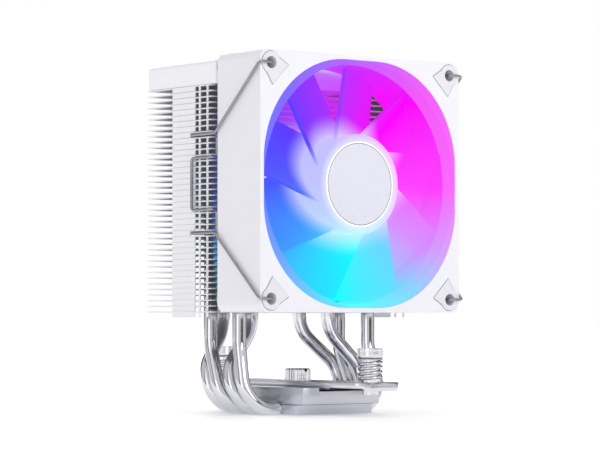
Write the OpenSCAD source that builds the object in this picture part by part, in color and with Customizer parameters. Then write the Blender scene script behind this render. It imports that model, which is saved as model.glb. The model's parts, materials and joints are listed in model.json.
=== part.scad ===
// Tower cooler with a 92 mm fan, four U-shaped heat pipes and a spring-screw crossbar.
// Origin: centre of the contact face under the base. +Z is up, the fan blows from -Y to +Y.
// Units are millimetres.

/* [Fan] */
// Width and height of the fan frame
fan_w = 92; // [86:1:112]
// Depth of the fan, front face to rear face
fan_t = 25; // [24:0.5:32]
// Distance between fan holes, centre to centre
fan_hole_sp = 82.5; // [78:0.5:102]
// Diameter of the fan holes
fan_hole_d = 4.3; // [3.5:0.1:5]
// Bore of the round duct that the blades turn in
duct_d = 86; // [76:1:88]
// Distance from the middle of the base to the front of the fan
fan_front = 37.5; // [34:0.5:48]

/* [Rotor] */
// Number of blades
blade_count = 9; // [7:1:11]
// Width of a blade, measured round the hub
blade_chord = 24; // [16:0.5:26]
// Gap between blade tips and duct
tip_gap = 1.0; // [0.6:0.1:2]
// Outer diameter of the hub
hub_d = 36; // [34:0.5:40]
// Diameter of the disc on the hub
cap_d = 30.7; // [20:0.1:32]
// Diameter of the shaft
shaft_d = 3; // [2:0.5:3.5]

/* [Fins] */
// Number of fins
fin_count = 40; // [24:1:48]
// Height from one fin to the next
fin_pitch = 2.08; // [1.9:0.02:2.6]
// Thickness of a fin
fin_t = 0.4; // [0.3:0.05:0.6]
// Depth of a fin, from the fan towards the back
fin_depth = 42; // [38:0.1:50]
// Width of a fin
fin_w = 92; // [84:1:110]
// Height of the lowest fin above the contact face
tower_z = 36.7; // [34:0.1:50]
// Height of the top cover
cover_h = 8.4; // [6:0.1:14]
// Wall of the top cover
cover_wall = 1.5; // [1:0.1:2.5]

/* [Heat pipes] */
// Diameter of a heat pipe
pipe_d = 5; // [4:0.1:5.6]
// Distance between neighbouring pipes in the base
pipe_pitch = 7; // [6.4:0.1:7.6]
// Distance of the outer upright legs from the middle
outer_leg_x = 30; // [27:0.5:33]
// Distance of the inner upright legs from the middle
inner_leg_x = 18; // [14:0.5:21]
// Bend radius of a pipe beside the base
pipe_bend_r = 10.5; // [8:0.5:11.5]

/* [Base] */
// Width of the base, across the pipes' ends
base_w = 35; // [30:0.5:36]
// Depth of the contact step, front to back
base_d = 43; // [40:0.5:52]
// How far the upper flange stands out past the contact step
flange_out = 4; // [2:0.5:6]
// Height of the contact step
step_h = 3.7; // [3.2:0.1:4.4]
// Height of the whole base
base_h = 9.8; // [8.8:0.1:12]

/* [Mounting] */
// Distance between the two spring screws
screw_sp = 83.6; // [78:0.1:92]
// Width of the crossbar
bar_w = 20; // [16:0.5:22]
// Thickness of the crossbar
bar_t = 2; // [1.5:0.1:3]
// Diameter of a spring screw's head
head_d = 9.4; // [8.6:0.1:11]
// Diameter of a spring screw's barrel
barrel_d = 5.8; // [5:0.1:6.2]
// Bore of the thread in a barrel's lower end
socket_d = 3; // [2.5:0.1:3.5]
// Wire thickness of a spring
spring_wire = 1.2; // [0.8:0.05:1.3]
// Height of a spring when the screw is free
spring_h = 8; // [6.5:0.1:10]

/* [Fan clips] */
// Thickness of the clip wire
wire_d = 1.0; // [0.8:0.05:1.4]
// Height of the clip's bars above and below the middle of the fan
bar_level = 18; // [16:0.5:24]
// Half the height of the clip's handle
handle_level = 9.6; // [7:0.1:12]

/* [Hidden] */
$fn = 96;
eps = 0.01;
slip = 0.05;            // radial clearance of a turning or sliding fit
film = 0.05;            // solder or glue film round a fitted piece
fan_y = -fan_front;     // front face of the fan
fan_back = fan_y + fan_t;
fan_z = tower_z + fan_w / 2;
hole_at = fan_hole_sp / 2;
pad_gap = 1.4;          // rear pads keep the fan this far off the fins
fin_y = fan_back + pad_gap;
fin_back = fin_y + fin_depth;
stack_top = tower_z + (fin_count - 1) * fin_pitch + fin_t;
cover_z = stack_top + 0.1;
side_x = max(fan_w, fin_w) / 2;

// Heat pipes: axis height in the base, rows, legs and tips
pipe_r = pipe_d / 2;
pipe_axis_z = pipe_r - 0.6;
pipe_rows = [-1.5, -0.5, 0.5, 1.5] * pipe_pitch;
leg_mid = fin_y + fin_depth / 2 - 0.9;
leg_pitch = 8.7;
leg_rows = [for (i = [0 : 3]) leg_mid + (i - 1.5) * leg_pitch];
leg_x = [outer_leg_x, inner_leg_x, outer_leg_x, inner_leg_x];
bulge_x = base_w / 2 + 14.5;
sweep_z = tower_z - 6.5;
tip_z = cover_z + 3.3;

// Side flange and lock tabs of a fin, measured from the fin's front edge
flange_from = 12.3;
flange_len = 14.0;
tab_a_from = 9.1;
tab_a_len = 0.9;
tab_b_from = 4.5;
tab_b_len = 0.8;
slot_len = 3;           // flange cut away at the clip bars' rows
notch_len = 2.8;
notch_in = 3.1;

// Clip levels lie in the middle of a gap between two fins
function gap_index(z) = round((z - tower_z - fin_t / 2) / fin_pitch - 0.5);
function gap_z(k) = tower_z + fin_t / 2 + (k + 0.5) * fin_pitch;
bar_gaps = [gap_index(fan_z + bar_level), gap_index(fan_z - bar_level)];
grip_gaps = [gap_index(fan_z + handle_level), gap_index(fan_z - handle_level)];

// Crossbar and spring screws, bottom to top
bar_z = base_h;
bar_top = bar_z + bar_t;
bar_len = screw_sp + 15.6;
screw_y = screw_sp / 2;
lip_len = 2.9;
lip_drop = 1.0;
washer_t = 0.5;
washer_z = bar_top + spring_h;
head_z = washer_z + washer_t;
head_h = 3.7;
barrel_end = bar_z - 2.4;
ring_t = 0.5;
ring_z = bar_z - ring_t - 0.03;
coil_turns = 4;
coil_r = (head_d - 0.4 - spring_wire) / 2;

// Fan depths, measured back from the front face
mouth_t = 5.5;          // light ring and the pocket it sits in
mouth_flat = duct_d + 2.8;
mouth_corner = 0.416 * mouth_flat;
frame_r = 3.2;
edge_r = 1.4;
hub_front = 1.7;
hub_back = fan_t - 6.4;
hub_wall = 1.2;
hub_top = 1.9;
cap_t = 0.6;
plate_from = fan_t - 4;
plate_to = fan_t - 1;
tube_r = 4.5;
bearing_r = 3.3;

pad_h = 1.0;
pad_groove = 0.25;      // groove left open round a front pad
pad_proud = 0.3;

// ---- Shared shapes ----

// Rectangle with round corners, centred
module round_rect(w, h, r) {
    square([w - 2 * r, h], center = true);
    square([w, h - 2 * r], center = true);
    for (x = [-1, 1], y = [-1, 1])
        translate([x * (w / 2 - r), y * (h / 2 - r)]) circle(r);
}

// Ring between two radii
module tube(r_out, r_in, h) {
    difference() {
        cylinder(r = r_out, h = h);
        translate([0, 0, -1]) cylinder(r = r_in, h = h + 2);
    }
}

function unit(v) = v / norm(v);
function reversed(list) = [for (i = [len(list) - 1 : -1 : 0]) list[i]];

// Round bend at corner b between the lines to a and to c: points with their directions
function bend_points(a, b, c, bend, steps) =
    let (u = unit(a - b),
         v = unit(c - b),
         swing = 180 - acos(u * v),
         reach = bend * tan(swing / 2),
         centre = b + unit(u + v) * bend / cos(swing / 2),
         from = unit(b + u * reach - centre),
         to = unit(b + v * reach - centre),
         side = cross(unit(cross(from, to)), from))
    [for (k = [0 : steps])
        let (t = swing * k / steps)
        [centre + bend * (cos(t) * from + sin(t) * side), cos(t) * side - sin(t) * from]];

// Smooth line through corner points p, with radius bends[i] at corner i + 1
function smooth_line(p, bends, steps) =
    let (last = len(p) - 1)
    concat(
        [[p[0], unit(p[1] - p[0])]],
        [for (i = [1 : last - 1])
            each bend_points(p[i - 1], p[i], p[i + 1], bends[i - 1], steps)],
        [[p[last], unit(p[last] - p[last - 1])]]
    );

// Round bar of radius r along a line of [point, direction] pairs.
// dome is how far a rounded tip stands past each end.
module swept_bar(line, r, sides, dome) {
    first = line[0];
    last = line[len(line) - 1];
    full = concat(
        dome > 0 ? [[first[0] - first[1] * dome, first[1], 0.35 * r],
                    [first[0] - first[1] * dome * 0.6, first[1], 0.8 * r]] : [],
        [for (e = line) [e[0], e[1], r]],
        dome > 0 ? [[last[0] + last[1] * dome * 0.6, last[1], 0.8 * r],
                    [last[0] + last[1] * dome, last[1], 0.35 * r]] : []
    );
    rings = len(full);
    start = abs(full[0][1][2]) < 0.9 ? [0, 0, 1] : [1, 0, 0];
    across = [
        for (i = 0, n = unit(cross(full[0][1], start));
             i < rings;
             i = i + 1, n = i < rings ? unit(n - (n * full[i][1]) * full[i][1]) : n) n
    ];
    points = [
        for (i = [0 : rings - 1], s = [0 : sides - 1])
            let (a = 360 * s / sides)
            full[i][0] + full[i][2] * (cos(a) * across[i] + sin(a) * cross(full[i][1], across[i]))
    ];
    skin = [
        for (i = [0 : rings - 2], s = [0 : sides - 1])
            let (n = (s + 1) % sides)
            [i * sides + n, i * sides + s, (i + 1) * sides + s, (i + 1) * sides + n]
    ];
    ends = [
        [for (s = [0 : sides - 1]) s],
        [for (s = [sides - 1 : -1 : 0]) (rings - 1) * sides + s]
    ];
    polyhedron(points, concat(skin, ends), convexity = 10);
}

// Places a piece on the fan's axis: local z is the depth behind the front face
module on_fan_axis() {
    translate([0, fan_y, fan_z]) rotate([-90, 0, 0]) children();
}

// ---- Base and heat pipes ----

// Route of heat pipe i on one side, from beside the base up to its tip
function pipe_side(i, side) =
    let (row = pipe_rows[i],
         leg = leg_rows[i],
         outer = i % 2 == 0)
    concat(
        [[side * bulge_x, row, pipe_axis_z]],
        outer ? [[side * leg_x[i], leg, sweep_z - 6]]
              : [[side * (bulge_x - 2), row + 5.5, sweep_z - 13], [side * leg_x[i], leg, sweep_z]],
        [[side * leg_x[i], leg, tip_z]]
    );
function pipe_bends(i) = i % 2 == 0 ? [pipe_bend_r, 16] : [pipe_bend_r, 10, 12];

module heat_pipe(i) {
    line = smooth_line(
        concat(reversed(pipe_side(i, -1)), pipe_side(i, 1)),
        concat(reversed(pipe_bends(i)), pipe_bends(i)),
        6
    );
    color("gainsboro")
        difference() {
            swept_bar(line, pipe_r, 16, pipe_r);
            translate([0, 0, -10]) cube([200, 200, 20], center = true);
        }
}

module base_block() {
    flange_d = base_d + 2 * flange_out;
    color("silver")
        difference() {
            union() {
                translate([-base_w / 2, -base_d / 2, 0]) cube([base_w, base_d, step_h + eps]);
                translate([-base_w / 2, -flange_d / 2, step_h])
                    cube([base_w, flange_d, base_h - step_h]);
            }
            for (row = pipe_rows)
                translate([-base_w, row, pipe_axis_z]) rotate([0, 90, 0])
                    cylinder(r = pipe_r + film, h = 2 * base_w);
            // relief under the crossbar's arms, so that they can flex
            for (end = [-1, 1])
                translate([-bar_w / 2 - 0.2, end * (flange_d / 4 + 6) - flange_d / 4, base_h - 1.4])
                    cube([bar_w + 0.4, flange_d / 2, 2]);
            // tapped hole for the centre screw
            translate([0, 0, step_h + 1.2]) cylinder(r = 2, h = base_h);
        }
}

// ---- Fins and cover ----

module fin_outline() {
    difference() {
        translate([-fin_w / 2, fin_y]) square([fin_w, fin_depth]);
        for (side = [-1, 1])
            translate([side * fin_w / 2 - notch_in, fin_y - 1])
                square([2 * notch_in, notch_len + 1]);
        for (i = [0 : 3], side = [-1, 1])
            translate([side * leg_x[i], leg_rows[i]]) circle(pipe_r + film);
    }
}

// Folded strip on a fin's side edge, hanging down to the fin below
module side_strip(from, length) {
    drop = fin_pitch - fin_t - 0.06;
    for (side = [0, 1]) mirror([side, 0, 0])
        translate([fin_w / 2 - fin_t, fin_y + from, -drop])
            cube([fin_t, length, drop + fin_t]);
}

module fin(i) {
    clip_slot = len([for (k = bar_gaps) if (k == i - 1) k]) > 0;
    translate([0, 0, tower_z + i * fin_pitch]) {
        linear_extrude(fin_t) fin_outline();
        if (clip_slot) {
            side_strip(flange_from + slot_len, flange_len - slot_len);
        } else {
            side_strip(flange_from, flange_len);
            side_strip(tab_a_from, tab_a_len);
            side_strip(tab_b_from, tab_b_len);
        }
    }
}

module fin_stack() {
    color("whitesmoke")
        for (i = [0 : fin_count - 1]) fin(i);
}

module top_cover() {
    depth = fin_depth;
    mid = fin_y + depth / 2;
    color("white")
        translate([0, mid, cover_z])
            difference() {
                intersection() {
                    linear_extrude(cover_h) round_rect(fin_w, depth, 1.5);
                    rotate([90, 0, 90]) translate([0, 0, -fin_w])
                        linear_extrude(2 * fin_w)
                            translate([0, -cover_h / 2]) round_rect(depth, 3 * cover_h, 2.3);
                    rotate([90, 0, 0]) translate([0, 0, -depth])
                        linear_extrude(2 * depth)
                            translate([0, -cover_h / 2]) round_rect(fin_w, 3 * cover_h, 1.5);
                }
                translate([0, 0, (cover_h - cover_wall) / 2 - 1])
                    cube([fin_w - 2 * cover_wall, depth - 2 * cover_wall,
                          cover_h - cover_wall + 2], center = true);
            }
}

// ---- Crossbar and its screws ----

module crossbar() {
    half = bar_len / 2;
    nose = 6;
    color("silver")
        difference() {
            intersection() {
                translate([0, 0, bar_z - 5]) linear_extrude(10)
                    polygon([for (a = [[1, 1], [-1, 1], [-1, -1], [1, -1]])
                        for (p = a[0] * a[1] > 0
                                 ? [[bar_w / 2, half - 4.1], [nose, half]]
                                 : [[nose, half], [bar_w / 2, half - 4.1]])
                            [a[0] * p[0], a[1] * p[1]]]);
                rotate([90, 0, 90]) translate([0, 0, -bar_w])
                    linear_extrude(2 * bar_w)
                        polygon([
                            [-half + lip_len, bar_z], [half - lip_len, bar_z],
                            [half, bar_z - lip_drop], [half, bar_top - lip_drop],
                            [half - lip_len, bar_top], [-half + lip_len, bar_top],
                            [-half, bar_top - lip_drop], [-half, bar_z - lip_drop]
                        ]);
            }
            for (y = [-screw_y, screw_y])
                translate([0, y, bar_z - 5]) cylinder(r = barrel_d / 2 + 0.2, h = 10);
            translate([0, 0, bar_z - 5]) cylinder(r = 2.15, h = 10);
        }
}

module center_screw() {
    grip_r = 4.75;
    grip_h = 4.4;
    color("lightgray") {
        translate([0, 0, step_h + 1.5]) cylinder(r = 2 - slip, h = bar_top - step_h - 1.5 + eps);
        translate([0, 0, bar_top])
            difference() {
                rotate_extrude()
                    polygon([[0, 0], [grip_r, 0], [grip_r, grip_h - 0.5],
                             [grip_r - 0.5, grip_h], [0, grip_h]]);
                for (a = [0 : 18 : 342])
                    rotate(a) translate([grip_r + 0.15, 0, -1]) cylinder(r = 0.4, h = grip_h + 2);
                translate([-0.6, -grip_r, grip_h - 1.2]) cube([1.2, 2 * grip_r, 2]);
            }
    }
}

// Screw at the front for end = -1 and at the back for end = 1
module spring_screw(end) {
    color("silver")
        translate([0, end * screw_y, 0])
            difference() {
                union() {
                    translate([0, 0, barrel_end])
                        cylinder(r = barrel_d / 2, h = head_z - barrel_end + eps);
                    translate([0, 0, head_z])
                        rotate_extrude() {
                            square([head_d / 2 - 0.9, head_h]);
                            translate([0, 0.9]) square([head_d / 2, head_h - 1.2]);
                            translate([head_d / 2 - 0.9, 0.9]) circle(0.9);
                            translate([0, head_h - 0.8])
                                square([head_d / 2 - 0.3, 0.8]);
                        }
                }
                // threaded socket in the lower end
                translate([0, 0, barrel_end - 1]) cylinder(r = socket_d / 2, h = 8);
                // groove for the snap ring
                translate([0, 0, ring_z - 0.03]) tube(barrel_d, barrel_d / 2 - 0.5, ring_t + 0.06);
                // cross recess
                for (a = [0, 90])
                    translate([0, 0, head_z + head_h - 0.9]) rotate(a)
                        cube([5.2, 1, 2.2], center = true);
            }
}

module screw_washer(end) {
    color("gainsboro")
        translate([0, end * screw_y, washer_z])
            tube(head_d / 2 - 0.1, barrel_d / 2 + 0.15, washer_t - 0.02);
}

module snap_ring(end) {
    color("dimgray")
        translate([0, end * screw_y, ring_z])
            difference() {
                tube(barrel_d / 2 + 0.8, barrel_d / 2 - 0.4, ring_t);
                translate([0, -1, -1]) cube([barrel_d, 2, 3]);
            }
}

// Height of the coil's centre line after t turns: closed ends, open middle
function coil_z(t) =
    let (closed = spring_wire * 1.3,
         open = (spring_h - 0.1 - spring_wire - 2 * closed) / (coil_turns - 2))
    spring_wire / 2 + 0.05 + (
        t < 1 ? t * closed
        : t > coil_turns - 1 ? closed + (coil_turns - 2) * open + (t - coil_turns + 1) * closed
        : closed + (t - 1) * open);

module spring(end) {
    sides = 8;
    per_turn = 18;
    rings = coil_turns * per_turn;
    points = [
        for (k = [0 : rings], s = [0 : sides - 1])
            let (t = k / per_turn, a = 360 * t, b = 360 * s / sides,
                 rr = coil_r + spring_wire / 2 * cos(b))
            [rr * cos(a), rr * sin(a), coil_z(t) + spring_wire / 2 * sin(b)]
    ];
    skin = [
        for (k = [0 : rings - 1], s = [0 : sides - 1])
            let (n = (s + 1) % sides)
            [k * sides + s, k * sides + n, (k + 1) * sides + n, (k + 1) * sides + s]
    ];
    ends = [
        [for (s = [sides - 1 : -1 : 0]) s],
        [for (s = [0 : sides - 1]) rings * sides + s]
    ];
    color("lightgray")
        translate([0, end * screw_y, bar_top])
            polyhedron(points, concat(skin, ends), convexity = 8);
}

// ---- Fan frame ----

// Mouth of the frame: a square with very round corners
module mouth_outline(cut) {
    round_rect(mouth_flat - 2 * cut, mouth_flat - 2 * cut, mouth_corner - cut);
}

// Outline of a corner pad: a four-sided wing and a boss round the hole.
// cut is how far it stands back from the pocket's wall.
module pad_outline(cut) {
    middle = hole_at - 2.4;
    shrink = 1 - cut / 2.8;
    difference() {
        union() {
            translate([middle, middle]) scale(shrink)
                polygon([[-5.6, 1.9], [-1.0, 4.7], [4.7, -1.0], [1.9, -5.6]]);
            translate([hole_at, hole_at]) circle(4.2 - cut);
        }
        translate([hole_at, hole_at]) circle(fan_hole_d / 2);
    }
}

module at_corners() {
    for (x = [0, 1], y = [0, 1])
        mirror([x, 0, 0]) mirror([0, y, 0]) children();
}

module fan_frame() {
    strut_w = 4.6;
    color("white")
        on_fan_axis() {
            difference() {
                intersection() {
                    linear_extrude(fan_t) round_rect(fan_w, fan_w, frame_r);
                    for (turn = [0, 90]) rotate(turn)
                        translate([0, fan_w, fan_t / 2]) rotate([90, 0, 0])
                            linear_extrude(2 * fan_w) round_rect(fan_w, fan_t, edge_r);
                }
                translate([0, 0, -1]) cylinder(d = duct_d, h = fan_t + 2);
                translate([0, 0, -1]) linear_extrude(mouth_t + 1) mouth_outline(0);
                at_corners() {
                    translate([hole_at, hole_at, -1])
                        cylinder(d = fan_hole_d, h = fan_t + 2);
                    translate([0, 0, -1]) linear_extrude(1 + pad_h - pad_proud) pad_outline(0);
                    translate([0, 0, fan_t - 0.6]) linear_extrude(1) pad_outline(0);
                }
                // notch for the fan's lead at the rear edge
                translate([-fan_w / 2 + 22, fan_w / 2 - 1.2, fan_t - 2.5]) cube([5, 3, 4]);
            }
            // motor plate and its four struts at the back
            difference() {
                union() {
                    translate([0, 0, plate_from])
                        cylinder(r = hub_d / 2 + 1.5, h = plate_to - plate_from);
                    for (a = [20 : 90 : 290]) rotate(a)
                        translate([hub_d / 2 - 2, -strut_w / 2, plate_from])
                            cube([duct_d / 2 - hub_d / 2 + 2.6, strut_w, plate_to - plate_from]);
                }
                translate([0, 0, plate_from - 1]) cylinder(r = tube_r + film, h = 6);
            }
        }
}

module front_pads() {
    color("gainsboro")
        on_fan_axis() at_corners()
            translate([0, 0, -pad_proud]) linear_extrude(pad_h - 0.02) pad_outline(pad_groove);
}

module rear_pads() {
    color("lightgray")
        on_fan_axis() at_corners()
            translate([0, 0, fan_t - 0.58]) linear_extrude(pad_gap + 0.56) pad_outline(0.05);
}

module light_ring() {
    color([0.8, 0.7, 1.0])
        on_fan_axis()
            difference() {
                translate([0, 0, 0.4]) linear_extrude(mouth_t - 0.42) mouth_outline(0.1);
                translate([0, 0, -0.6])
                    cylinder(r1 = mouth_flat / 2 - 0.2, r2 = duct_d / 2, h = mouth_t + 0.61);
                translate([0, 0, mouth_t - 1]) cylinder(d = duct_d, h = 2);
            }
}

// ---- Motor, standing still ----

module led_board() {
    color("seagreen")
        on_fan_axis() {
            translate([0, 0, hub_back + 1]) tube(hub_d / 2 + 2.4, hub_d / 2 - 3.5, 0.9);
            for (a = [0 : 45 : 315]) rotate(a)
                translate([hub_d / 2 + 0.5, -1, hub_back + 0.2]) cube([1.7, 2, 0.8 + eps]);
        }
}

module motor_board() {
    color("darkgreen")
        on_fan_axis() {
            translate([0, 0, hub_back - 1.3]) tube(12.4, tube_r + film, 0.9);
            translate([6.5, -1.6, hub_back - 2.1]) cube([3.2, 3.2, 0.8 + eps]);
        }
}

module stator_core() {
    core_from = hub_front + 6.6;
    core_t = 6;
    color("slategray")
        on_fan_axis() translate([0, 0, core_from]) {
            tube(6.6, tube_r + film, core_t);
            intersection() {
                tube(13.4, 6.5, core_t);
                union() {
                    for (a = [0 : 90 : 270]) rotate(a) {
                        translate([6, -1.6, 0]) cube([6, 3.2, core_t]);
                        rotate(-33) pole_shoe(core_t);
                    }
                }
            }
        }
}

// Curved shoe at the end of a stator pole
module pole_shoe(h) {
    rotate_extrude(angle = 66) translate([11.4, 0]) square([2, h]);
}

module stator_coils() {
    coil_from = hub_front + 5.8;
    color("chocolate")
        on_fan_axis() translate([0, 0, coil_from])
            for (a = [0 : 90 : 270]) rotate(a)
                translate([6.9, 0, 0])
                    difference() {
                        translate([0, -3.1, 0]) cube([3.8, 6.2, 7.6]);
                        translate([-1, -1.65, 0.75]) cube([7, 3.3, 6.1]);
                    }
}

module bearing_tube() {
    color("goldenrod")
        on_fan_axis() translate([0, 0, hub_front + 4.9])
            tube(tube_r, bearing_r, plate_to - hub_front - 4.9);
}

module sleeve_bearing() {
    color("peru")
        on_fan_axis() translate([0, 0, hub_front + 5.6])
            tube(bearing_r - film, shaft_d / 2 + 0.02, plate_to - hub_front - 9.4);
}

module bearing_plug() {
    color("dimgray")
        on_fan_axis() translate([0, 0, plate_to - 1])
            cylinder(r = bearing_r - film, h = 1.1);
}

// ---- Rotor ----

// Section of a blade: a cambered strip, leading edge in front
module blade_section() {
    z_front = hub_front + 2.2;
    z_back = hub_back - 1.2;
    camber_r = 30;
    half = norm([blade_chord, z_back - z_front]) / 2;
    tilt = atan2(z_back - z_front, blade_chord);
    translate([0, (z_front + z_back) / 2]) rotate(tilt)
        intersection() {
            translate([0, -sqrt(camber_r * camber_r - half * half)])
                difference() {
                    circle(camber_r + 0.6);
                    circle(camber_r - 0.6);
                }
            translate([-half, -6]) square([2 * half, 12]);
        }
}

module rotor() {
    tip_r = duct_d / 2 - tip_gap;
    color("lavender")
        on_fan_axis() {
            difference() {
                translate([0, 0, hub_front]) cylinder(d = hub_d, h = hub_back - hub_front);
                translate([0, 0, hub_front + hub_top])
                    cylinder(d = hub_d - 2 * hub_wall, h = hub_back);
                translate([0, 0, hub_front - 1]) cylinder(d = cap_d + 0.1, h = 1 + cap_t - 0.3);
            }
            // boss that grips the shaft
            translate([0, 0, hub_front + hub_top - eps]) tube(3.2, shaft_d / 2 + eps, 2.4);
            intersection() {
                translate([0, 0, hub_front]) tube(tip_r, hub_d / 2 - 0.5, hub_back - hub_front);
                for (k = [0 : blade_count - 1]) rotate(k * 360 / blade_count)
                    translate([10, 0, 0]) rotate([90, 0, 90])
                        linear_extrude(tip_r) blade_section();
            }
        }
}

module hub_cap() {
    color("whitesmoke")
        on_fan_axis() translate([0, 0, hub_front - 0.3]) cylinder(d = cap_d, h = cap_t - 0.02);
}

module rotor_yoke() {
    color("silver")
        on_fan_axis() translate([0, 0, hub_front + hub_top + 0.3])
            tube(hub_d / 2 - hub_wall - film, hub_d / 2 - hub_wall - 0.85,
                 hub_back - hub_front - hub_top - 0.9);
}

module rotor_magnet() {
    magnet_out = hub_d / 2 - hub_wall - 0.9;
    color("black")
        on_fan_axis() translate([0, 0, hub_front + 4.3])
            tube(magnet_out, magnet_out - 1.9, 11);
}

module rotor_shaft() {
    shaft_end = plate_to - 2.4;
    color("silver")
        on_fan_axis()
            difference() {
                translate([0, 0, hub_front + hub_top])
                    cylinder(d = shaft_d, h = shaft_end - hub_front - hub_top);
                translate([0, 0, shaft_end - 0.95]) tube(shaft_d, shaft_d / 2 - 0.35, 0.5);
            }
}

module shaft_ring() {
    color("dimgray")
        on_fan_axis() translate([0, 0, plate_to - 2.4 - 0.92])
            difference() {
                tube(shaft_d / 2 + 0.9, shaft_d / 2 - 0.3, 0.44);
                translate([0, -0.6, -1]) cube([4, 1.2, 3]);
            }
}

// ---- Wire clips ----

// Route of the clip's upper half on the +X side, from the hook in the fan hole to the handle
function clip_half(side, z_hook, z_bar, z_grip) =
    let (out = side_x + 0.45 + wire_d / 2,
         inside = fin_w / 2 - 1.8,
         face = fan_y - 0.35 - wire_d / 2,
         pocket = fin_y + notch_len / 2 + 0.1,
         back = fin_y + flange_from + 1.5)
    [for (p = [
        [hole_at, fan_y + 6, z_hook], [hole_at, face, z_hook], [out, face, z_hook],
        [out, fan_back + 0.5, z_bar], [out, back, z_bar],
        [inside, back, z_bar], [inside, pocket, z_bar],
        [inside, pocket, z_grip], [out, pocket, z_grip], [out, back - 0.8, z_grip]
    ]) [side * p[0], p[1], p[2]]];

module fan_clip(side) {
    tight = 1.3;
    shoulder = 3;
    half_bends = [tight, tight, shoulder, tight, tight, tight, tight, tight, tight];
    top = clip_half(side, fan_z + hole_at, gap_z(bar_gaps[0]), gap_z(grip_gaps[0]));
    bottom = clip_half(side, fan_z - hole_at, gap_z(bar_gaps[1]), gap_z(grip_gaps[1]));
    line = smooth_line(concat(top, reversed(bottom)), concat(half_bends, reversed(half_bends)), 4);
    color("lightgray") swept_bar(line, wire_d / 2, 8, 0);
}

// ---- Nodes ----

base_block();
heat_pipe(0);  // heat_pipe_1
heat_pipe(1);  // heat_pipe_2
heat_pipe(2);  // heat_pipe_3
heat_pipe(3);  // heat_pipe_4
fin_stack();
top_cover();
crossbar();
center_screw();
spring_screw(-1);  // front_screw
spring_screw(1);  // rear_screw
screw_washer(-1);  // front_washer
screw_washer(1);  // rear_washer
spring(-1);  // front_spring
spring(1);  // rear_spring
snap_ring(-1);  // front_snap_ring
snap_ring(1);  // rear_snap_ring
fan_frame();
front_pads();
rear_pads();
light_ring();
led_board();
motor_board();
stator_core();
stator_coils();
bearing_tube();
sleeve_bearing();
bearing_plug();
rotor();
hub_cap();
rotor_yoke();
rotor_magnet();
rotor_shaft();
shaft_ring();
fan_clip(-1);  // left_clip
fan_clip(1);  // right_clip
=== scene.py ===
import json
from math import cos, degrees, pi, radians, sin, tan

import bmesh
import bpy
from mathutils import Matrix, Vector

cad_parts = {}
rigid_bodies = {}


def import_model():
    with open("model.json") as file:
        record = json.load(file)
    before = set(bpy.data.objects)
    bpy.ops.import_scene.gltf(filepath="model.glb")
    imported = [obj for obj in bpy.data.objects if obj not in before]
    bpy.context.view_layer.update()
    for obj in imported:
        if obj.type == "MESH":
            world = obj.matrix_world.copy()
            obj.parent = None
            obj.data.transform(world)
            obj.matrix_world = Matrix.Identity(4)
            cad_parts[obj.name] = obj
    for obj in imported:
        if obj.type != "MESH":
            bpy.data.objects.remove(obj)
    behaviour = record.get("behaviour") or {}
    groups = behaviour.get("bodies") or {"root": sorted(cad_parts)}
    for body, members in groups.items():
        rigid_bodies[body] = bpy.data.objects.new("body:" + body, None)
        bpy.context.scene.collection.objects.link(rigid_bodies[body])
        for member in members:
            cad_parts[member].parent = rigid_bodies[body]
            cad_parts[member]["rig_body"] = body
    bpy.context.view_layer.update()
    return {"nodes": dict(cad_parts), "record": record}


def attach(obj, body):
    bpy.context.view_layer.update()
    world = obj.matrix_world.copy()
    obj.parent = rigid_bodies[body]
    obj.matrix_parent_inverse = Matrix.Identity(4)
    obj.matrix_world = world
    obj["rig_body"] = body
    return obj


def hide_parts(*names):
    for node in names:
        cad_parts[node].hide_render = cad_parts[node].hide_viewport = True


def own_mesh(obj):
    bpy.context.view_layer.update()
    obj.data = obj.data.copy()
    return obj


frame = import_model()
nodes = frame["nodes"]
mm = 0.001
print("frame loaded:", len(nodes), "nodes")


# the camera stands low in front of the fan, a little to its left
view = {
    "place": (-0.5918, -0.7556, 0.0345), "along": (0.61685, 0.78626, 0.03599), "lens": 156.0,
    "sensor": 36, "nearest": 0.01, "farthest": 50,
}

camera = bpy.data.objects.new("camera", bpy.data.cameras.new("camera"))
bpy.context.scene.collection.objects.link(camera)
camera.data.lens = view["lens"]
camera.data.sensor_width = view["sensor"]
camera.data.clip_start = view["nearest"]
camera.data.clip_end = view["farthest"]
camera.location = view["place"]
camera.rotation_euler = Vector(view["along"]).to_track_quat("-Z", "Y").to_euler()
bpy.context.scene.camera = camera
bpy.context.scene.view_settings.view_transform = "Standard"


# shader maths: a Flow is a socket that can stand in a sum
class Flow:
    def __init__(self, finish, socket):
        self.finish = finish
        self.socket = socket

    def sum(self, operation, first, second):
        return self.finish.node("Math", {"operation": operation}, {0: first, 1: second})

    def __add__(self, other):
        return self.sum("ADD", self, other)

    def __radd__(self, other):
        return self.sum("ADD", other, self)

    def __sub__(self, other):
        return self.sum("SUBTRACT", self, other)

    def __rsub__(self, other):
        return self.sum("SUBTRACT", other, self)

    def __mul__(self, other):
        return self.sum("MULTIPLY", self, other)

    def __rmul__(self, other):
        return self.sum("MULTIPLY", other, self)

    def __pow__(self, other):
        return self.sum("POWER", self, other)

    def __rpow__(self, other):
        return self.sum("POWER", other, self)


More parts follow.
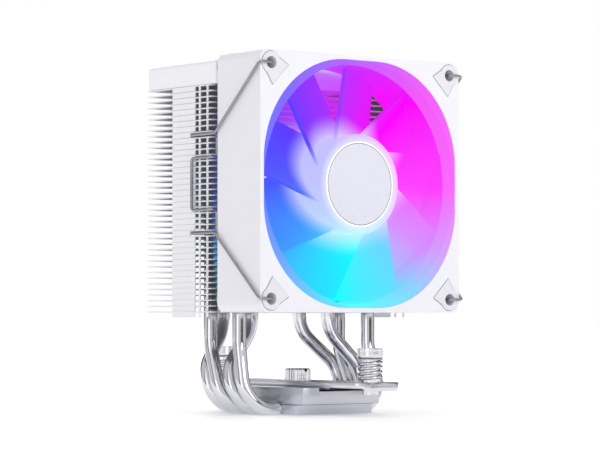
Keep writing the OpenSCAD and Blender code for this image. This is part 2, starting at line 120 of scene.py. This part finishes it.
class Finish:
    def __init__(self, name, block=None):
        self.made = block or bpy.data.materials.new(name)
        self.made.use_nodes = True
        self.tree = self.made.node_tree
        self.tree.nodes.clear()

    # one node: its type, its settings first, then the values or links of its sockets
    def node(self, kind, settings=None, inputs=None, out=0):
        made = self.tree.nodes.new("ShaderNode" + kind)
        for key, value in (settings or {}).items():
            if key == "stops":
                ramp = made.color_ramp
                while len(ramp.elements) < len(value):
                    ramp.elements.new(0.5)
                for element, (at, colour) in zip(ramp.elements, value):
                    element.position = at
                    element.color = colour
            else:
                setattr(made, key, value)
        for key, value in (inputs or {}).items():
            if isinstance(value, Flow):
                self.tree.links.new(value.socket, made.inputs[key])
            else:
                made.inputs[key].default_value = value
        return Flow(self, made.outputs[out]) if made.outputs else None

    def place(self):
        return self.node("TexCoord", out=3)

    def axes(self, vector):
        outs = self.node("SeparateXYZ", None, {0: vector}).socket.node.outputs
        return [Flow(self, outs[i]) for i in range(3)]

    def absolute(self, value):
        return self.node("Math", {"operation": "ABSOLUTE"}, {0: value})

    def larger(self, first, second):
        return self.node("Math", {"operation": "MAXIMUM"}, {0: first, 1: second})

    # the turn round an axis, from -1 to 1 over a whole circle
    def bearing(self, up, across):
        return self.node("Math", {"operation": "ARCTAN2"}, {0: up, 1: across}) * (1 / pi)

    def stretched(self, vector, scale):
        return self.node("Mapping", None, {"Vector": vector, "Scale": scale})

    def noise(self, vector, scale, detail=2.0, rough=0.5):
        inputs = {"Vector": vector, "Scale": scale, "Detail": detail, "Roughness": rough}
        return self.node("TexNoise", None, inputs)

    def between(self, factor, first, second):
        return self.node("Mix", {"data_type": "RGBA"}, {0: factor, 6: first, 7: second}, out=2)

    def rising(self, value, low, high):
        inputs = {"Value": value, "From Min": low, "From Max": high}
        return self.node("MapRange", {"interpolation_type": "SMOOTHSTEP"}, inputs)

    # the same over a range in millimetres
    def past(self, value, span):
        return self.rising(value, span[0] * mm, span[1] * mm)

    def bump(self, height, distance):
        return self.node("Bump", None, {"Height": height, "Distance": distance, "Strength": 1.0})

    def surface(self, inputs):
        shader = self.node("BsdfPrincipled", None, inputs)
        self.node("OutputMaterial", None, {"Surface": shader})
        return self.made


# a grey for a shader, as a share of full light
def grey(level):
    return (level, level, level, 1.0)


# a colour as it looks on a screen, given to a shader
def paint(red, green, blue):
    lin = [((c + 0.055) / 1.055) ** 2.4 if c > 0.04 else c / 12.92 for c in (red, green, blue)]
    return (*lin, 1.0)


# world, lamps and floor: a flag is dark and a strip bright, and each has its turn, half width and
# strength; a lamp has its place, size and power

studio = {
    "backdrop": 1.0, "side": 0.64, "below": 0.66, "flag": 0.02,
    "flags": [(0.29, 0.37, 0.95), (-0.45, 0.15, 0.97), (0.97, 0.04, 0.9)],
    "strips": [(-0.87, 0.08, 1.0)], "strip": 1.5, "soften": 0.7,
    "bandsFade": (0.35, 0.75), "horizon": (-0.25, 0.05),
    "key": ((0.1, -0.95, 0.45), 0.7, 2.7), "fill": ((-0.95, 0.1, 0.45), 0.6, 0.1),
    "top": ((0.0, 0.1, 0.95), 0.9, 1.4), "back": ((0.5, 0.85, 0.5), 0.5, 1.6), "lampsFace": 0.06,
}


def makeWorld(p):
    world = bpy.data.worlds.new("studioWorld")
    bpy.context.scene.world = world
    sky = Finish("studioWorld", world)
    x, y, z = sky.axes(sky.node("TexCoord", out=0))
    turn = sky.bearing(y, x)
    low = 1.0 - sky.rising(z, *p["bandsFade"])
    seen = grey(p["side"])
    for bands, level in (("flags", "flag"), ("strips", "strip")):
        most = None
        for at, wide, deep in p[bands]:
            away = sky.absolute(turn - at)
            band = (1.0 - sky.rising(away, wide * p["soften"], wide)) * deep
            most = band if most is None else sky.larger(most, band)
        seen = sky.between(most * low, seen, grey(p[level]))
    seen = sky.between(sky.rising(z, *p["horizon"]), grey(p["below"]), seen)
    direct = sky.node("LightPath", out=0)
    colour = sky.between(direct, seen, grey(p["backdrop"]))
    glow = sky.node("Background", None, {"Color": colour, "Strength": 1.0})
    sky.node("OutputWorld", None, {"Surface": glow})


def addLamp(name, place, size, power):
    lamp = bpy.data.lights.new(name, "AREA")
    lamp.shape = "DISK"
    lamp.size = size
    lamp.energy = power
    thing = bpy.data.objects.new(name, lamp)
    bpy.context.scene.collection.objects.link(thing)
    thing.location = place
    facing = Vector((0, 0, studio["lampsFace"])) - Vector(place)
    thing.rotation_euler = facing.to_track_quat("-Z", "Y").to_euler()
    thing.visible_camera = False


makeWorld(studio)
for lampName in ("key", "fill", "top", "back"):
    addLamp(lampName + "Lamp", *studio[lampName])


paper = {"half": 6, "drop": 0.3, "grain": 40, "nearGlow": 0.3, "farGlow": 0.6, "near": 0.15,
         "far": 0.9, "rough": 0.55}


def makeFloor(p):
    bm = bmesh.new()
    bmesh.ops.create_grid(bm, x_segments=2, y_segments=2, size=p["half"])
    bmesh.ops.translate(bm, verts=bm.verts, vec=(0, 0, -p["drop"] * mm))
    floor = settled(bm, "floor")
    look = Finish("floorPaper")
    at = look.place()
    grain = look.noise(at, p["grain"])
    colour = look.between(grain, paint(0.965, 0.965, 0.97), paint(0.98, 0.98, 0.985))
    x, y = look.axes(at)[:2]
    far = look.rising((x * x + y * y) ** 0.5, p["near"], p["far"])
    lift = look.between(far, grey(p["nearGlow"]), grey(p["farGlow"]))
    dress(floor, look.surface({"Base Color": colour, "Roughness": p["rough"],
                               "Emission Color": lift, "Emission Strength": 1.0}))


# making pieces

# the mesh of a finished piece, with smooth shading between its real edges
def settled(bm, name, sharp=35):
    mesh = bpy.data.meshes.new(name)
    bm.to_mesh(mesh)
    bm.free()
    mesh.polygons.foreach_set("use_smooth", [True] * len(mesh.polygons))
    mesh.set_sharp_from_angle(angle=radians(sharp))
    made = bpy.data.objects.new(name, mesh)
    bpy.context.scene.collection.objects.link(made)
    return made


def dress(thing, material):
    thing.data.materials.clear()
    thing.data.materials.append(material)


# a new piece that stands for a CAD node
def standFor(thing, node, slot):
    dress(thing, finishes[slot])
    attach(thing, nodes[node]["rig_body"])
    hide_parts(node)
    return thing


# pushes an open ring of edges along and returns the new ring
def pushed(bm, edges, vec, size=1.0, about=None):
    got = bmesh.ops.extrude_edge_only(bm, edges=edges)["geom"]
    verts = [g for g in got if isinstance(g, bmesh.types.BMVert)]
    bmesh.ops.translate(bm, verts=verts, vec=vec)
    if size != 1.0:
        bmesh.ops.scale(bm, verts=verts, vec=(size,) * 3, space=Matrix.Translation(-about))
    ringVerts = set(verts)
    return [g for g in got if isinstance(g, bmesh.types.BMEdge) and ringVerts.issuperset(g.verts)]


def ringAt(bm, at, heading, radius, sides):
    place = Matrix.Translation(at) @ heading.to_track_quat("Z", "Y").to_matrix().to_4x4()
    verts = bmesh.ops.create_circle(bm, segments=sides, radius=radius, matrix=place)["verts"]
    return list({e for v in verts for e in v.link_edges})


# a round tip on an open ring, in a few narrowing rings
def domed(bm, edges, at, heading, radius, rings=4):
    here = at
    size = 1.0
    for k in range(1, rings):
        angle = radians(90) * k / rings
        there = at + heading * radius * sin(angle)
        edges = pushed(bm, edges, there - here, cos(angle) / size, there)
        here = there
        size = cos(angle)
    bmesh.ops.contextual_create(bm, geom=edges)


# a round bar through corner points, with a bend of its own radius at each corner
def bentBar(corners, bends, radius, sides, tips, fine):
    bm = bmesh.new()
    points = [Vector(p) * mm for p in corners]
    radius = radius * mm
    heading = (points[1] - points[0]).normalized()
    edges = ringAt(bm, points[0], heading, radius, sides)
    first = list(edges)
    firstHeading = heading
    at = points[0]
    for i in range(1, len(points) - 1):
        ahead = (points[i + 1] - points[i]).normalized()
        swing = heading.angle(ahead)
        bend = bends[i - 1] * mm
        start = points[i] - heading * bend * tan(swing / 2)
        if (start - at).length > 1e-6:
            edges = pushed(bm, edges, start - at)
        axis = heading.cross(ahead).normalized()
        centre = start + axis.cross(heading) * bend
        verts = list({v for e in edges for v in e.verts})
        steps = max(2, round(degrees(swing) / fine))
        turned = bmesh.ops.spin(bm, geom=verts + edges, cent=centre, axis=axis, angle=swing,
                                steps=steps, use_duplicate=False)["geom_last"]
        edges = [g for g in turned if isinstance(g, bmesh.types.BMEdge)]
        at = points[i] + ahead * bend * tan(swing / 2)
        heading = ahead
    edges = pushed(bm, edges, points[-1] - at)
    if tips:
        domed(bm, edges, points[-1], heading, radius)
        domed(bm, first, points[0], -firstHeading, radius)
    else:
        bmesh.ops.contextual_create(bm, geom=edges)
        bmesh.ops.contextual_create(bm, geom=first)
    bmesh.ops.remove_doubles(bm, verts=bm.verts, dist=1e-6)
    bmesh.ops.recalc_face_normals(bm, faces=bm.faces)
    return bm


# a merged copy of a flat-sided CAD node, with its edges broken
def softened(node, width, name):
    bm = bmesh.new()
    bm.from_mesh(nodes[node].data)
    bmesh.ops.remove_doubles(bm, verts=bm.verts, dist=broken["weld"])
    bmesh.ops.dissolve_limit(bm, angle_limit=radians(broken["flat"]), verts=bm.verts, edges=bm.edges)
    sharp = radians(broken["sharp"])
    edges = [e for e in bm.edges if len(e.link_faces) == 2 and e.calc_face_angle(0) > sharp]
    bmesh.ops.bevel(bm, geom=edges, offset=width * mm, offset_type="OFFSET", segments=2,
                    profile=0.5, affect="EDGES", material=-1, clamp_overlap=True)
    bmesh.ops.recalc_face_normals(bm, faces=bm.faces)
    return settled(bm, name)


# finishes, with the depth in metres of each kind's grain

grainDepth = {"coat": 0.00006, "plastic": 0.00003, "soft": 0.00004}


# sprayed coat with a fine peel
def coating(name, light, shade, rough, peel, ripple=0.0):
    look = Finish(name)
    at = look.place()
    cloudy = look.noise(at, 14, 3)
    fleck = look.noise(at, 900, 2)
    colour = look.between(cloudy * 0.7 + fleck * 0.3, light, shade)
    rub = look.noise(at, 60, 4, 0.6)
    height = look.noise(at, 1600, 2) * peel + look.noise(at, 90, 2) * ripple
    return look.surface({"Base Color": colour, "Roughness": rough + 0.14 * (rub - 0.5),
                         "Normal": look.bump(height, grainDepth["coat"]), "Coat Weight": 0.15,
                         "Coat Roughness": 0.2, "IOR": 1.5})


# the painted shade under a step: how strong it is and its colour
paintedStepShade = {"depth": 0.8, "dark": (0.3, 0.3, 0.33)}


# brushed or drawn metal, with a painted shade line under a step at the height given
def metal(name, light, dark, rough, grain, stretch, depth, step=None):
    look = Finish(name)
    at = look.place()
    lines = look.noise(look.stretched(at, stretch), grain, 4, 0.65)
    cloudy = look.noise(at, 35, 3)
    colour = look.between(lines * 0.55 + cloudy * 0.45, dark, light)
    if step:
        z = look.axes(at)[2]
        # painted shade: a dark band on the faces round the height of the step, under the overhanging
        # flange
        under = look.past(z, (step - 0.35, step - 0.2)) - look.past(z, (step, step + 0.15))
        colour = look.between(under * paintedStepShade["depth"], colour, paint(*paintedStepShade["dark"]))
    rub = rough * (0.5 + 0.55 * lines + 0.45 * cloudy)
    return look.surface({"Base Color": colour, "Metallic": 1.0, "Roughness": rub,
                         "Normal": look.bump(lines, depth)})


# moulded rubber, board or ferrite
def soft(name, light, dark, rough, size):
    look = Finish(name)
    at = look.place()
    grain = look.noise(at, size, 3)
    dust = look.noise(at, size * 0.08, 3)
    colour = look.between(grain * 0.5 + dust * 0.5, dark, light)
    return look.surface({"Base Color": colour, "Roughness": rough + 0.2 * (dust - 0.5),
                         "Normal": look.bump(grain, grainDepth["soft"]), "Specular IOR Level": 0.3})


fan = {"front": -37.5, "axisZ": 82.7}

# light colours round the fan, from its left side through the bottom, right and top
lightRing = {
    "round": [
        (0.0, (0.30, 0.36, 1.0)), (0.10, (0.26, 0.60, 1.0)), (0.25, (0.0, 1.0, 1.0)),
        (0.34, (0.42, 0.84, 1.0)), (0.41, (0.84, 0.58, 1.0)), (0.50, (1.0, 0.26, 1.0)),
        (0.63, (0.98, 0.0, 0.98)), (0.75, (0.70, 0.20, 1.0)), (0.88, (0.38, 0.24, 1.0)),
        (1.0, (0.30, 0.36, 1.0)),
    ],
    "centre": (0.95, 0.96, 1.0), "spread": (11.0, 26.5), "milk": (0.75, 0.7, 1.0, 1),
}


# how far a place is from the fan's axis, after its offsets across and up
def offAxis(look, at):
    x, z = look.axes(at)[::2]
    up = z - fan["axisZ"] * mm
    return x, up, (x * x + up * up) ** 0.5


# the colour of the fan's light at a place
def lightAt(look, at):
    x, up, away = offAxis(look, at)
    stops = [(t, paint(*c)) for t, c in lightRing["round"]]
    colour = look.node("ValToRGB", {"stops": stops}, {0: look.bearing(up, x) * 0.5 + 0.5})
    out = look.past(away, lightRing["spread"])
    return look.between(out, paint(*lightRing["centre"]), colour), away


# white coating on the fins, with painted shade deep between them, a faint painted glow in that shade,
# dark seams between the folded flanges, and the fan's light painted on them in front of the fan
fins = {
    "side": (41.5, 45.6), "back": (26.5, 31.2), "front": (-11.0, -7.5),
    # deep is the painted shade between the fins, and lift a faint painted glow in it
    "deep": (0.36, 0.36, 0.38), "lift": 0.035,
    "firstZ": 36.7, "pitch": 2.08, "seamFrom": (0.12, 0.19), "seamTo": (0.26, 0.33),
    "flange": (45.4, 45.6), "seam": (0.66, 0.66, 0.69), "seamDepth": 0.45,
    # lit keys: where the fan's light is painted on the fins, how dark the coat goes under it, how much
    # it covers and how strongly it glows
    "litTo": (36, 42), "litSide": (27, 34), "litDepth": (0, 30),
    "litDark": (0.3, 0.3, 0.35), "litCover": 0.8, "glow": 0.62,
}


def finFinish(p):
    look = Finish("finCoat")
    at = look.place()
    x, y, z = look.axes(at)
    side = look.absolute(x)
    # painted shade: the fins go grey away from their open sides, back and front
    unshadedEdge = look.larger(look.past(side, p["side"]), look.past(y, p["back"]))
    unshadedEdge = look.larger(unshadedEdge, 1.0 - look.past(y, p["front"]))
    level = (z - p["firstZ"] * mm) * (1 / (p["pitch"] * mm))
    level = look.node("Math", {"operation": "FRACT"}, {0: level})
    seam = look.rising(level, *p["seamFrom"]) - look.rising(level, *p["seamTo"])
    cloudy = look.noise(at, 30, 3)
    bright = look.between(cloudy, paint(0.965, 0.967, 0.98), paint(0.94, 0.942, 0.958))
    seam = seam * look.past(side, p["flange"])
    bright = look.between(seam * p["seamDepth"], bright, paint(*p["seam"]))
    colour = look.between(unshadedEdge, paint(*p["deep"]), bright)
    # painted light: the fan's colour glows on the fins behind its middle, over a darkened coat
    light, away = lightAt(look, at)
    paintedFanLit = (1.0 - look.past(away, p["litTo"])) * (1.0 - look.past(side, p["litSide"]))
    paintedFanLit = paintedFanLit * (1.0 - look.past(y, p["litDepth"]))
    colour = look.between(paintedFanLit * p["litCover"], colour, paint(*p["litDark"]))
    # painted glow, faint, in the shaded depth between the fins
    lift = look.between(unshadedEdge, grey(p["lift"]), grey(0))
    return look.surface({"Base Color": colour, "Roughness": 0.4 + 0.1 * look.noise(at, 80, 3),
                         "Emission Color": look.between(paintedFanLit * p["glow"], lift, light),
                         "Emission Strength": 1.0,
                         "Normal": look.bump(look.noise(at, 1400, 2), grainDepth["plastic"])})


# lit plastic, which gives off the colour of the fan's light: the glow of the light ring, and a painted
# glow on the blades
def glowing(name, strength, body, rough, pale):
    look = Finish(name)
    at = look.place()
    light = look.between(pale, lightAt(look, at)[0], lightRing["milk"])
    cloudy = look.noise(at, 45, 3)
    lit = look.between(0.10 * cloudy, light, grey(0))
    base = look.between(body, grey(0), light)
    return look.surface({"Base Color": base, "Roughness": rough + 0.1 * cloudy,
                         "Specular IOR Level": 0.08,
                         "Emission Color": lit, "Emission Strength": strength,
                         "Normal": look.bump(look.noise(at, 700, 2), grainDepth["plastic"])})


# white moulding with the fan's light painted as a glow on the wall of its duct
duct = {"hub": (20.0, 23.0), "wall": (43.05, 43.6), "glow": 0.8, "body": 0.15}


def litFrame(p):
    look = Finish("framePlastic")
    at = look.place()
    light, away = lightAt(look, at)
    cloudy = look.noise(at, 14, 3)
    plain = look.between(cloudy, paint(0.95, 0.947, 0.97), paint(0.93, 0.927, 0.952))
    # painted light: between the hub and the mouth the moulding glows in the fan's colour, over a
    # darkened colour
    inside = look.past(away, p["hub"]) * (1.0 - look.past(away, p["wall"]))
    lit = look.between(inside, grey(0), light)
    base = look.between(inside, plain, look.between(p["body"], grey(0), light))
    height = look.noise(at, 1800, 2)
    return look.surface({"Base Color": base, "Roughness": 0.36 + 0.1 * look.noise(at, 60, 3),
                         "Emission Color": lit, "Emission Strength": p["glow"],
                         "Normal": look.bump(height, grainDepth["plastic"]), "Coat Weight": 0.1,
                         "Coat Roughness": 0.3})


# satin disc with a fine turned ring near its rim, and the fan's light painted as a glow on the rim
disc = {
    "face": -37, "ringFrom": (14.45, 14.6), "ringTo": (14.75, 14.9), "rim": (14.8, 14.9),
    "rimGlow": (0.4, 0.4, 0.42, 1), "turning": 900.0, "wander": 0.4, "depth": 0.00004,
}


def discFinish(p):
    look = Finish("satinDisc")
    at = look.place()
    away = offAxis(look, at)[2]
    ring = look.past(away, p["ringFrom"]) - look.past(away, p["ringTo"])
    plain = look.between(look.noise(at, 30, 3), paint(0.90, 0.90, 0.94), paint(0.87, 0.87, 0.915))
    colour = look.between(ring * 0.7, plain, paint(0.35, 0.35, 0.4))
    centre = (0, -p["face"] * mm, -fan["axisZ"] * mm)
    middle = look.node("Mapping", None, {"Vector": at, "Location": centre})
    turned = look.node("TexWave", {"wave_type": "RINGS", "rings_direction": "Y"},
                       {"Vector": middle, "Scale": p["turning"], "Distortion": p["wander"]})
    # painted light: a grey glow on the outer rim
    lit = look.between(look.past(away, p["rim"]), grey(0), p["rimGlow"])
    return look.surface({"Base Color": colour, "Roughness": 0.30 + 0.08 * turned,
                         "Emission Color": lit, "Emission Strength": 1.0,
                         "Normal": look.bump(turned * 0.4 - ring, p["depth"])})


finishes = {
    "white_paint": coating("coverPaint", paint(0.985, 0.982, 1.0), paint(0.965, 0.962, 0.985),
                           0.34, 0.5, 0.3),
    "fin_white": finFinish(fins),
    "pipe_nickel": metal("pipeNickel", paint(0.93, 0.93, 0.945), paint(0.82, 0.82, 0.845), 0.10, 130,
                         (1, 1, 0.1), 0.00002),
    "base_aluminium": metal("milledAluminium", paint(0.86, 0.86, 0.89), paint(0.76, 0.76, 0.80),
                            0.34, 900, (0.05, 1, 1), 0.00003, 3.7),
    "bar_steel": metal("barSteel", paint(0.92, 0.92, 0.94), paint(0.80, 0.80, 0.83), 0.2, 700,
                       (1, 0.05, 1), 0.00002),
    "screw_steel": metal("screwSteel", paint(0.93, 0.93, 0.94), paint(0.82, 0.82, 0.84), 0.12, 900,
                         (0.1, 0.1, 1), 0.00002),
    "washer_steel": metal("washerSteel", paint(0.78, 0.78, 0.80), paint(0.66, 0.66, 0.68), 0.3, 500,
                          (1, 1, 1), 0.00002),
    "spring_steel": metal("springSteel", paint(0.93, 0.93, 0.94), paint(0.72, 0.72, 0.74), 0.12, 600,
                          (1, 1, 0.4), 0.00002),
    "dark_spring_steel": metal("bluedSteel", paint(0.26, 0.26, 0.29), paint(0.16, 0.16, 0.18), 0.3, 600,
                               (1, 1, 1), 0.00002),
    "clip_wire": metal("clipWire", paint(0.68, 0.68, 0.70), paint(0.54, 0.54, 0.57), 0.1, 500,
                       (1, 0.2, 0.2), 0.00002),
    "frame_plastic": litFrame(duct),
    "pad_front": soft("padFront", paint(0.915, 0.912, 0.935), paint(0.89, 0.887, 0.91), 0.45, 900),
    "pad_rear": soft("padRear", paint(0.72, 0.72, 0.75), paint(0.64, 0.64, 0.67), 0.6, 900),
    "ring_plastic": glowing("ringPlastic", 0.80, 0.22, 0.35, 0.16),
    "blade_plastic": glowing("bladePlastic", 0.96, 0.08, 0.40, 0.0),
    "cap_plastic": discFinish(disc),
    "board_green": soft("boardGreen", paint(0.10, 0.36, 0.22), paint(0.07, 0.28, 0.17), 0.4, 1200),
    "board_white": soft("boardWhite", paint(0.92, 0.93, 0.92), paint(0.84, 0.85, 0.84), 0.4, 1200),
    "stator_steel": metal("statorSteel", paint(0.56, 0.57, 0.59), paint(0.40, 0.41, 0.43), 0.4, 1800,
                          (0.1, 1, 0.1), 0.00005),
    "coil_copper": metal("coilCopper", paint(0.80, 0.46, 0.27), paint(0.62, 0.30, 0.15), 0.28, 1500,
                         (1, 0.1, 1), 0.00012),
    "brass": metal("turnedBrass", paint(0.84, 0.70, 0.42), paint(0.70, 0.55, 0.30), 0.25, 900,
                   (0.1, 1, 0.1), 0.00002),
    "bronze": metal("bearingBronze", paint(0.66, 0.48, 0.30), paint(0.50, 0.34, 0.20), 0.45, 1400,
                    (1, 1, 1), 0.00004),
    "black_plastic": soft("blackPlastic", paint(0.16, 0.16, 0.17), paint(0.10, 0.10, 0.11), 0.45, 900),
    "yoke_steel": metal("yokeSteel", paint(0.72, 0.73, 0.75), paint(0.58, 0.59, 0.61), 0.32, 900,
                        (0.1, 1, 0.1), 0.00002),
    "magnet": soft("magnetFerrite", paint(0.20, 0.20, 0.21), paint(0.13, 0.13, 0.14), 0.6, 1600),
    "shaft_steel": metal("shaftSteel", paint(0.84, 0.84, 0.86), paint(0.74, 0.74, 0.76), 0.12, 900,
                         (0.1, 1, 0.1), 0.00001),
}
print("finishes made:", len(finishes))

for part in frame["record"]["subparts"]:
    dress(nodes[part["node"]], finishes[part["material_slot"]])

makeFloor(paper)
print("floor laid")


# heat pipes

pipe = {
    "radius": 2.5, "axisZ": 1.9, "rows": (-10.5, -3.5, 3.5, 10.5), "legs": (-4.05, 4.65, 13.35, 22.05),
    "legX": (30, 18, 30, 18), "bulge": 32, "sweepZ": 30.2, "tipZ": 121.62,
    "outerBends": [10.5, 16], "innerBends": [10.5, 10, 12], "sides": 32, "fine": 5,
    "outerDrop": 6, "innerIn": 2, "innerBack": 5.5, "innerDrop": 13,
}


def pipeSide(p, i, side):
    row, leg, x = p["rows"][i], p["legs"][i], p["legX"][i]
    corners = [(side * p["bulge"], row, p["axisZ"])]
    if i % 2 == 0:
        corners.append((side * x, leg, p["sweepZ"] - p["outerDrop"]))
    else:
        low = p["sweepZ"] - p["innerDrop"]
        corners.append((side * (p["bulge"] - p["innerIn"]), row + p["innerBack"], low))
        corners.append((side * x, leg, p["sweepZ"]))
    return corners + [(side * x, leg, p["tipZ"])]


for i in range(4):
    bends = pipe["outerBends"] if i % 2 == 0 else pipe["innerBends"]
    corners = pipeSide(pipe, i, -1)[::-1] + pipeSide(pipe, i, 1)
    bm = bentBar(corners, bends[::-1] + bends, pipe["radius"], pipe["sides"], True, pipe["fine"])
    cut = bmesh.ops.bisect_plane(bm, geom=bm.verts[:] + bm.edges[:] + bm.faces[:], dist=1e-7,
                                 plane_co=(0, 0, 0), plane_no=(0, 0, -1), clear_outer=True)["geom_cut"]
    bmesh.ops.edgeloop_fill(bm, edges=[g for g in cut if isinstance(g, bmesh.types.BMEdge)])
    bmesh.ops.recalc_face_normals(bm, faces=bm.faces)
    standFor(settled(bm, f"smooth_pipe_{i + 1}"), f"heat_pipe_{i + 1}", "pipe_nickel")
print("heat pipes made")


# fan clips

clip = {
    "radius": 0.5, "holeAt": 41.25, "hookY": -31.5, "face": -38.35, "out": 46.95,
    "inside": 44.2, "fanBack": -12.0, "barZ": (100.34, 64.98), "gripZ": (92.02, 73.30),
    "back": 2.7, "pocket": -9.6, "gripBack": 1.9, "tight": 1.3, "shoulder": 3, "sides": 16, "fine": 15,
}


def clipHalf(p, side, hookZ, barZ, gripZ):
    run = [
        (p["holeAt"], p["hookY"], hookZ), (p["holeAt"], p["face"], hookZ), (p["out"], p["face"], hookZ),
        (p["out"], p["fanBack"], barZ), (p["out"], p["back"], barZ), (p["inside"], p["back"], barZ),
        (p["inside"], p["pocket"], barZ), (p["inside"], p["pocket"], gripZ),
        (p["out"], p["pocket"], gripZ), (p["out"], p["gripBack"], gripZ),
    ]
    return [(side * x, y, z) for x, y, z in run]


for side, name in ((-1, "left_clip"), (1, "right_clip")):
    top = clipHalf(clip, side, fan["axisZ"] + clip["holeAt"], clip["barZ"][0], clip["gripZ"][0])
    bottom = clipHalf(clip, side, fan["axisZ"] - clip["holeAt"], clip["barZ"][1], clip["gripZ"][1])
    bends = [clip["tight"], clip["tight"], clip["shoulder"]] + [clip["tight"]] * 6
    bm = bentBar(top + bottom[::-1], bends + bends[::-1], clip["radius"], clip["sides"], False,
                 clip["fine"])
    standFor(settled(bm, name + "_wire"), name, "clip_wire")
print("clips made")


# springs

spring = {"wire": 1.2, "coil": 3.9, "turns": 4, "free": 8.0, "y": 41.8, "z": 11.8, "steps": 40,
          "closed": 1.3, "travel": 3.0, "inset": 0.05, "sides": 16}


def makeSpring(p, end, node):
    bm = bmesh.new()
    at = Vector((p["coil"], 0, p["wire"] / 2 + p["inset"])) * mm
    edges = ringAt(bm, at, Vector((0, 1, 0)), p["wire"] / 2 * mm, p["sides"])
    first = list(edges)
    closed = p["wire"] * p["closed"]
    wide = (p["free"] - 2 * p["inset"] - p["wire"] - 2 * closed) / (p["turns"] - 2)
    for rise, turns in ((closed, 1), (wide, p["turns"] - 2), (closed, 1)):
        steps = p["steps"] * turns
        verts = list({v for e in edges for v in e.verts})
        lead = (0, 0, rise * turns / steps * mm)
        wound = bmesh.ops.spin(bm, geom=verts + edges, cent=(0, 0, 0), axis=(0, 0, 1), dvec=lead,
                               angle=2 * pi * turns, steps=steps, use_merge=False,
                               use_duplicate=False)["geom_last"]
        edges = [g for g in wound if isinstance(g, bmesh.types.BMEdge)]
    bmesh.ops.contextual_create(bm, geom=first)
    bmesh.ops.contextual_create(bm, geom=edges)
    bmesh.ops.translate(bm, verts=bm.verts, vec=(0, end * p["y"] * mm, p["z"] * mm))
    bmesh.ops.recalc_face_normals(bm, faces=bm.faces)
    made = standFor(settled(bm, node + "_coil"), node, "spring_steel")
    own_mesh(made)


makeSpring(spring, -1, "front_spring")
makeSpring(spring, 1, "rear_spring")
print("springs made")


# base and crossbar, from their CAD shapes

broken = {"base": 0.25, "bar": 0.2, "sharp": 30, "flat": 0.5, "weld": 2e-6}
standFor(softened("base_block", broken["base"], "milled_base"), "base_block", "base_aluminium")
standFor(softened("crossbar", broken["bar"], "brushed_bar"), "crossbar", "bar_steel")
print("base and crossbar made")


# light inside the fan

ringLamps = {"count": 8, "radius": 27, "depth": 21, "power": 0.004, "soft": 0.004}
for k in range(ringLamps["count"]):
    angle = 2 * pi * (k + 0.5) / ringLamps["count"]
    lamp = bpy.data.lights.new(f"fanLamp{k}", "POINT")
    lamp.shadow_soft_size = ringLamps["soft"]
    lamp.energy = ringLamps["power"]
    share = (angle / (2 * pi) + 0.5) % 1.0
    near = min(lightRing["round"], key=lambda stop: abs(stop[0] - share))
    lamp.color = paint(*near[1])[:3]
    thing = bpy.data.objects.new(f"fanLamp{k}", lamp)
    bpy.context.scene.collection.objects.link(thing)
    across, up = ringLamps["radius"] * cos(angle), ringLamps["radius"] * sin(angle)
    thing.location = Vector((across, fan["front"] + ringLamps["depth"], fan["axisZ"] + up)) * mm
print("fan lamps placed")
